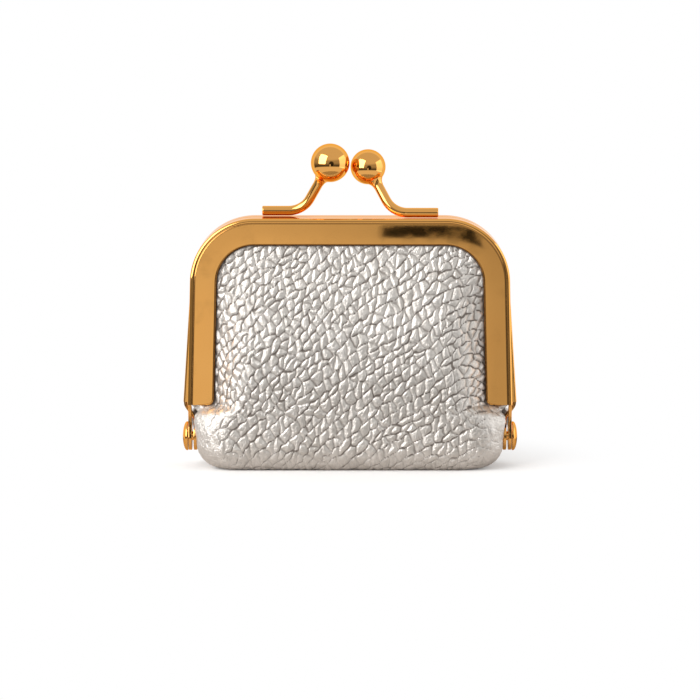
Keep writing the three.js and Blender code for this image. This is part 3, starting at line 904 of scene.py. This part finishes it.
def nearest_pebbles(pebbles, across, up):
    """The numbers of the six pebbles that lie nearest to each place on the flat leather."""
    tree = KDTree(len(pebbles))
    for k, pebble in enumerate(pebbles):
        tree.insert((*pebble[:2], 0), k)
    tree.balance()
    return np.array([[k for _, k, _ in tree.find_n((*place, 0), 6)] for place in zip(across, up)])


def creases(across, up, mirror, chance):
    """How far each place on the flat leather lies from the nearest crease, and how firm that crease is."""
    sway = wander(chance, 8, 7 * MM, 25 * MM)

    def heading(a, u):
        return np.radians(row_heading(mirror * a, u) * mirror + SWAY * sway(a, u))

    margin = 2 * PEBBLE_LENGTH
    rows = PebbleRows(np.array([across.min(), 0]) - margin, np.array([across.max(), up.max()]) + margin)
    pebbles = rows.pebbles(chance, heading)
    nearest = nearest_pebbles(pebbles, across, up)
    aslant = heading(across, up)
    along = np.stack([np.cos(aslant), np.sin(aslant)], axis=1)[:, None]
    upright = np.stack([-np.sin(aslant), np.cos(aslant)], axis=1)[:, None]
    wobble = [wander(chance, 5, 2 * MM, 5 * MM)(across, up) * CREASE_WOBBLE for _ in range(2)]
    offset = pebbles[nearest, :2] - np.stack([across + wobble[0], up + wobble[1]], axis=1)[:, None]
    beside = (offset * upright).sum(2) / math.sin(CROSS_LEAN)
    ahead = (offset * along).sum(2) - mirror * beside * math.cos(CROSS_LEAN)
    offset = np.stack([ahead, beside * PEBBLE_NARROW], axis=2)
    away = (offset**2).sum(2)
    order = np.argsort(away, axis=1)[:, :2]
    pair = np.take_along_axis(nearest, order, axis=1)
    closest = np.take_along_axis(away, order, axis=1)
    between = np.take_along_axis(offset, order[:, :, None], axis=1)
    apart = np.linalg.norm(between[:, 0] - between[:, 1], axis=1)
    gap = (closest[:, 1] - closest[:, 0]) / (2 * apart)
    in_row = pebbles[pair[:, 0], 2] == pebbles[pair[:, 1], 2]
    uneven = 0.85 + 0.2 * wander(chance, 5, 3 * MM, 9 * MM)(across, up)
    return gap, np.where(in_row, CROSS_FIRMNESS, 1.0) * uneven


def press_grain(leather, half, seed):
    """Raises the pebbles, less so at the corners and base, and marks the creases and the painted shade
    beside the frame's lip and in the side folds by the hinges.
    """
    chance = np.random.default_rng(seed)
    across = get_attribute(leather, "across")
    up = get_attribute(leather, "up")
    gap, firmness = creases(across, up, -SIDES[half], chance)
    swell = wander(chance, 6, 7 * MM, 16 * MM)(across, up) * SWELL
    places = coordinates(leather)
    sideways = abs(places[:, 0])
    depth = abs(places[:, 1])
    height = places[:, 2]
    corner = ramp(abs(across), CORNER_START, CORNER_SPREAD) * ramp(-height, -CORNER_TOP, CORNER_FADE)
    low_down = ramp(-height, -BASE_END_RADIUS, BASE_FADE)
    amount = (1 - SMOOTH_CORNER * corner) * (1 - SMOOTH_BASE * low_down)
    relief = amount * PEBBLE_RISE * (ease(gap / PEBBLE_SHOULDER) - PEBBLE_LEVEL) + swell
    set_coordinates(leather, places + normals(leather) * relief[:, None])
    # Dark creases: partly foil worn thin, partly painted shade in the grooves between the pebbles.
    crease_and_painted_shade = amount * firmness * np.exp(-((gap / CREASE_WIDTH) ** 2))
    # Painted shade: the leather just outside the window's lip is darkened, as if shaded by the flange.
    beyond_lip = np.array([rim_offset(half, Vector(place)) for place in places]) - SHOW_FLANGE
    lip_shade = ramp(-beyond_lip, -LIP_SHADE, LIP_SHADE) * (height > FOOT_HEIGHT)
    # Painted shade: the leather's side fold beside the hinge ears is darkened where shade falls between
    # them.
    beside_hinge = ramp(sideways, FOLD_START, FOLD_SOFT) * ramp(-depth, -FOLD_DEPTH, FOLD_SOFT)
    fold_shade = beside_hinge * ramp(height, BASE_END_RADIUS, 2 * FOLD_SOFT)
    set_attribute(leather, "crease_and_painted_shade", np.maximum.reduce([crease_and_painted_shade, lip_shade, fold_shade]))


SILVER = (0.72, 0.682, 0.64)
SILVER_SHADE = (0.62, 0.583, 0.54)
# Dark colour for the creases (partly worn foil, partly painted shade) and for the painted shade beside the
# lip and in the side folds.
CREASE_SHADE_COLOUR = (0.20, 0.172, 0.15)


def silver_leather():
    """Foiled leather: bright on the pebbles and dark in the creases, partly from foil worn thin and partly
    as painted shade; the same dark colour is painted as shade beside the frame's lip and in the side folds
    by the hinges.
    """
    silver = Finish("silver_leather")
    place = silver.place()
    crease_and_painted_shade = silver.add("Attribute", {"attribute_name": "crease_and_painted_shade"}, output="Fac")
    cloud = silver.noise(place, 320, 3.0)
    specks = silver.noise(place, 2600, 2.0)
    crinkles = silver.add("TexVoronoi", {"feature": "DISTANCE_TO_EDGE"}, {"Vector": place, "Scale": 1100.0})
    foil = silver.mix(silver.span(cloud, 0.35, 0.7), SILVER, SILVER_SHADE)
    silver.feed(
        Base_Color=silver.mix(silver.span(crease_and_painted_shade, 0.08, 0.6), foil, CREASE_SHADE_COLOUR),
        Metallic=0.85 - 0.4 * crease_and_painted_shade,
        Roughness=0.38 + 0.12 * cloud + 0.3 * crease_and_painted_shade,
        Normal=silver.bump(0.6 * silver.span(crinkles, 0.0, 0.16) + 0.5 * specks, 0.07 * MM),
    )
    return silver.material


leather_finish = silver_leather()
for seed, half in enumerate(SIDES):
    rows, across, up = bag_grid(half, COLUMNS)
    leather, row, column = sheet_of(f"{half}_leather", rows)
    set_attribute(leather, "across", across[row, column])
    set_attribute(leather, "up", up[row, column])
    apply_modifier(leather, "SUBSURF", levels=2, render_levels=2)
    press_grain(leather, half, seed)
    outer_count = len(leather.data.vertices)
    apply_modifier(leather, "SOLIDIFY", thickness=LEATHER, offset=-1)
    inner = leather.vertex_groups.new(name="inner_face")
    inner.add(range(outer_count, len(leather.data.vertices)), 1.0, "REPLACE")
    apply_modifier(leather, "DECIMATE", ratio=INNER_RATIO, vertex_group=inner.name)
    make_active(leather)
    bpy.ops.object.shade_smooth()
    dress(leather, leather_finish)
    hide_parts(f"{half}_leather_panel", f"{half}_leather_base")
    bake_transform(leather)

# Boards
# A grey board stiffens each face between leather and lining, and a third one lies across the base.
# Each is die cut from one sheet and glued in flat or rolled to the face's curve.
BOARD_GREY = (0.33, 0.29, 0.24)
BOARD_FLECK = (0.17, 0.145, 0.12)
BOARD_PALE = (0.46, 0.42, 0.36)


def grey_board():
    """Board pressed from waste paper: short fibres, dark flecks and pale scraps."""
    board = Finish("grey_board")
    place = board.place()
    fibres = board.noise(board.stretch(place, (900, 900, 3200)), 1, 4.0)
    flecks = board.span(board.noise(place, 1900, 1.0), 0.66, 0.74)
    pulp = board.mix(board.span(fibres, 0.35, 0.7), BOARD_GREY, BOARD_PALE)
    board.feed(
        Base_Color=board.mix(flecks, pulp, BOARD_FLECK),
        Roughness=0.85 + 0.1 * fibres,
        Normal=board.bump(fibres, 0.04 * MM),
    )
    return board.material


board_finish = grey_board()
for name in ("front_board", "back_board", "base_board"):
    dress(frame["nodes"][name], board_finish)

# Linings
# Each half is lined with one piece of plain woven cotton, cut like the leather and glued over the boards,
# with its edge in the channel and its foot on the base.
LINING = 0.4 * MM
LINING_OFFSET = 1.7 * MM
LINING_COLUMNS = 48
YARN = 0.36 * MM
COTTON = (0.50, 0.46, 0.40)
COTTON_SHADE = (0.36, 0.325, 0.28)


def woven_cotton():
    """Plain weave: yarns over and under each other along the cloth's own lines, thick and thin, with shade
    painted darker at the yarns' edges.
    """
    cotton = Finish("woven_cotton")
    across = cotton.add("Attribute", {"attribute_name": "across"}, output="Fac")
    up = cotton.add("Attribute", {"attribute_name": "up"}, output="Fac")
    uneven = cotton.noise(cotton.place(), 500, 2.0)
    warp = (across * (FULL_TURN / 2 / YARN) + uneven).sine()
    weft = (up * (FULL_TURN / 2 / YARN) + uneven).sine()
    over = cotton.span(warp * weft, -0.6, 0.6)
    yarn = over * (1 - warp * warp) + (1 - over) * (1 - weft * weft)
    cotton.feed(
        # Painted shade between the yarns, with some tone that varies at random.
        Base_Color=cotton.mix(0.7 * yarn + 0.3 * uneven, COTTON_SHADE, COTTON),
        Roughness=0.9,
        Sheen_Weight=0.15,
        Normal=cotton.bump(yarn, 0.08 * MM),
    )
    return cotton.material


cotton_finish = woven_cotton()
for half in SIDES:
    rows, across, up = bag_grid(half, LINING_COLUMNS)
    lining, row, column = sheet_of(f"{half}_lining", rows)
    set_attribute(lining, "across", across[row, column])
    set_attribute(lining, "up", up[row, column])
    apply_modifier(lining, "SUBSURF", levels=1, render_levels=1)
    apply_modifier(lining, "DISPLACE", strength=-LINING_OFFSET, mid_level=0)
    apply_modifier(lining, "SOLIDIFY", thickness=LINING, offset=-1)
    make_active(lining)
    bpy.ops.object.shade_smooth()
    dress(lining, cotton_finish)
    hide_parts(f"{half}_lining_panel", f"{half}_lining_base")
    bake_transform(lining)

# Channel cords
# A length of twisted paper cord is rammed into each channel behind the lining, all the way round the arch.
# It jams the glued edges of the bag in the frame.
CORD_RADIUS = 0.5 * MM
CORD_STRANDS = 3
CORD_LAY = 2.4 * MM
CORD_STEP = 0.25 * MM
PAPER = (0.58, 0.47, 0.30)
PAPER_SHADE = (0.40, 0.31, 0.18)


def twisted_paper():
    """Kraft paper: pale brown, fibrous along the twist, with shade painted darker between the strands."""
    paper = Finish("twisted_paper")
    strand = paper.add("Attribute", {"attribute_name": "strand"}, output="Fac")
    fibres = paper.noise(paper.place(), 2400, 3.0)
    paper.feed(
        # Painted shade: the colour darkens towards the hollows between the strands.
        Base_Color=paper.mix(0.7 * strand + 0.3 * fibres, PAPER_SHADE, PAPER),
        Roughness=0.85 + 0.1 * fibres,
        Normal=paper.bump(fibres, 0.05 * MM),
    )
    return paper.material


def channel_line(half, offset):
    """The arch from foot to foot, along a line inside the rim, as points across and up."""
    heights = np.linspace(FOOT_HEIGHT, crest - offset, 400)
    right = np.array([(rim_half_width(half, height, offset), height) for height in heights])
    return np.concatenate([right * (-1, 1), right[::-1]])


paper_finish = twisted_paper()
for half, side in SIDES.items():
    line = channel_line(half, SHEET + PLY_GAP + CORD_RADIUS)
    count = int(np.linalg.norm(np.diff(line, axis=0), axis=1).sum() / CORD_STEP)
    line = spaced(line, count)
    depth = np.full(count, side * (PARTING_FACE + ply_edge + CORD_RADIUS))
    middle = np.stack([line[:, 0], depth, line[:, 1]], axis=1)
    outward = np.gradient(middle, axis=0)[:, [2, 1, 0]] * (-1, 0, 1)
    outward /= np.linalg.norm(outward, axis=1)[:, None]
    around = np.linspace(0, FULL_TURN, 19)
    twist = FULL_TURN * np.arange(count) * CORD_STEP / (CORD_LAY * CORD_STRANDS)
    strand = abs(np.sin(CORD_STRANDS / 2 * (around - twist[:, None])))
    reach = CORD_RADIUS * (0.8 + 0.2 * strand)[:, :, None]
    spokes = np.cos(around)[:, None] * outward[:, None] + np.sin(around)[:, None] * np.array([0, 1, 0])
    cord, row, column = sheet_of(f"{half}_cord", middle[:, None] + reach * spokes)
    set_attribute(cord, "strand", strand[row, column])
    start_edit(cord)
    end_edit()
    make_active(cord)
    bpy.ops.object.shade_smooth()
    dress(cord, paper_finish)
    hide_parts(f"{half}_channel_cord")
    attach(cord, f"{half}_half")

# Studio
# A small pale table that fades into a white background, in a room that is white behind the pouch and dim
# in front, where a dark figure stands. A window lights it from the left and a white card from the right.
# A dark card is seen only as its reflection in the frame's top flange.
TABLE_RADIUS = 0.07
TABLE_DROP = 0.05 * MM
TABLE_SEEN = (0.95, 0.94, 0.93)
TABLE_NEAR = (0.64, 0.60, 0.57)
TABLE_FAR = (0.36, 0.345, 0.33)
TABLE_DULLS = (0.018, 0.032)
TABLE_FADES = (0.02, 0.066)

deselect()
bpy.ops.mesh.primitive_circle_add(
    vertices=96, radius=TABLE_RADIUS, fill_type="NGON", location=(0, 0, -TABLE_DROP)
)
table = bpy.context.object
table.name = table.data.name = "table"
bpy.ops.object.transform_apply(location=True)
top = Finish("table_top")
place = top.place()
away = top.add("VectorMath", {"operation": "LENGTH"}, {0: place}, output="Value")
depth = top.add("SeparateXYZ", None, {0: place}, output="Y")
camera_ray = top.add("LightPath", output="Is Camera Ray")
dull = top.mix(top.span(depth * depth, TABLE_DULLS[0] ** 2, TABLE_DULLS[1] ** 2), TABLE_NEAR, TABLE_FAR)
top.feed(Base_Color=top.mix(camera_ray, dull, TABLE_SEEN), Roughness=1.0, Specular_IOR_Level=0.0)
white = top.add("Emission", None, {"Color": (1, 1, 1), "Strength": 1.0})
fade = camera_ray * top.span(away, *TABLE_FADES)
surface = top.add("MixShader", None, {0: fade, 1: Value(top, top.shader.outputs[0]), 2: white})
top.set(top.tree.nodes["Material Output"].inputs["Surface"], surface)
table.data.materials.append(top.material)
table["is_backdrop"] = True

CARD_SIZE = (35 * MM, 10.5 * MM)
CARD_DISTANCE = 445 * MM
CARD_SEEN_AT = (19 * MM, 55 * MM)

reflection = Vector((CARD_SEEN_AT[0], show_face, CARD_SEEN_AT[1]))
sight = reflection - Vector((camera.location.x, 2 * show_face - camera.location.y, camera.location.z))
deselect()
bpy.ops.mesh.primitive_plane_add(
    size=1, location=reflection + sight * CARD_DISTANCE / abs(sight.y), rotation=(math.pi / 2, 0, 0)
)
dark_card = bpy.context.object
dark_card.name = dark_card.data.name = "dark_card"
dark_card.scale = (*CARD_SIZE, 1)
bpy.ops.object.transform_apply(location=True, rotation=True, scale=True)
card_finish = Finish("dark_card")
card_finish.feed(Base_Color=(0.02, 0.02, 0.02), Roughness=0.9, Specular_IOR_Level=0.0)
dark_card.data.materials.append(card_finish.material)
dark_card.visible_camera = False
dark_card.visible_diffuse = False
dark_card.visible_shadow = False
dark_card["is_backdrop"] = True

BACK_TONE = 1.0
BACK_STARTS = (-0.45, -0.3)
ROOM_TONE = 0.4
HIGH_TONE = 0.72
HIGH_STARTS = (0.2, 0.45)
LOW_TONE = 0.85
LOW_STARTS = (-0.36, -0.28)
SHADOW_DEPTH = 0.8
SHADOW_ENDS = (-0.25, 0.08)
FIGURE_MIDDLE = (0.12, -0.03)
FIGURE_REACH = 0.3
FIGURE_EDGES = (0.4, 1.0)
FIGURE_DEPTH = 0.9
GLEAM_LEFT = 0.83
GLEAM_RIGHT = 0.54
GLEAM_HALF_WIDTHS = (0.05, 0.08)
GLEAM_TOPS = (-0.08, -0.06)
GLEAM_TURNS = (-0.04, 0.04)
GLEAM_LOSS = 0.14
GLEAM_LOSSES = (-0.115, -0.09)

world = bpy.data.worlds.new("room")
world.use_nodes = True
bpy.context.scene.world = world
room = Nodes(world.node_tree)
direction = room.add("TexCoord", output="Generated")
split = {axis: room.add("SeparateXYZ", None, {0: direction}, output=axis) for axis in "XYZ"}
front = room.span(-1 * split["Y"], *BACK_STARTS)
below = 1 - room.span(split["Z"], *LOW_STARTS)
above = room.span(split["Z"], *HIGH_STARTS)
shadow = (1 - below) * (1 - room.span(split["Z"], *SHADOW_ENDS))
sideways = (split["X"] - FIGURE_MIDDLE[0]) * (1 / FIGURE_REACH)
upwards = (split["Z"] - FIGURE_MIDDLE[1]) * (1 / FIGURE_REACH)
figure = 1 - room.span(sideways * sideways + upwards * upwards, *FIGURE_EDGES)
dim = ROOM_TONE * (1 - SHADOW_DEPTH * shadow)
dim = dim + above * (HIGH_TONE - ROOM_TONE) + below * (LOW_TONE - ROOM_TONE)
dim = dim * (1 - FIGURE_DEPTH * figure)
ahead = 1 - room.span(split["X"] * split["X"], GLEAM_HALF_WIDTHS[0] ** 2, GLEAM_HALF_WIDTHS[1] ** 2)
ahead = ahead * (1 - below) * (1 - room.span(split["Z"], *GLEAM_TOPS))
gleam = GLEAM_LEFT - (GLEAM_LEFT - GLEAM_RIGHT) * room.span(split["X"], *GLEAM_TURNS)
gleam = gleam * (1 - GLEAM_LOSS * room.span(split["Z"], *GLEAM_LOSSES))
dim = dim + ahead * (gleam - dim)
tone = BACK_TONE + front * (dim - BACK_TONE)
camera_ray = room.add("LightPath", output="Is Camera Ray")
grey = room.add("CombineColor", None, {0: tone, 1: tone, 2: tone})
room.set(world.node_tree.nodes["Background"].inputs["Color"], room.mix(camera_ray, grey, (1, 1, 1)))

SUBJECT = Vector((0, 0, 35 * MM))


def soft_light(name, azimuth, elevation, distance, size, radiance):
    """A soft box that faces the pouch; azimuth runs from the camera's side towards the right."""
    turn = math.radians(azimuth)
    rise = math.radians(elevation)
    lamp = bpy.data.lights.new(name, "AREA")
    lamp.shape = "RECTANGLE"
    lamp.size, lamp.size_y = size
    lamp.energy = radiance * math.pi * size[0] * size[1]
    light = bpy.data.objects.new(name, lamp)
    level = math.cos(rise)
    outward = Vector((math.sin(turn) * level, -math.cos(turn) * level, math.sin(rise)))
    light.location = SUBJECT + outward * distance
    light.rotation_euler = (-outward).to_track_quat("-Z", "Y").to_euler()
    bpy.context.scene.collection.objects.link(light)


soft_light("window", -50, 24, 0.9, (0.76, 0.85), 4.5)
soft_light("right_card", 85, 6, 0.8, (0.8, 0.8), 1.2)
bpy.context.scene.view_settings.view_transform = "Standard"

low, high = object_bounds()
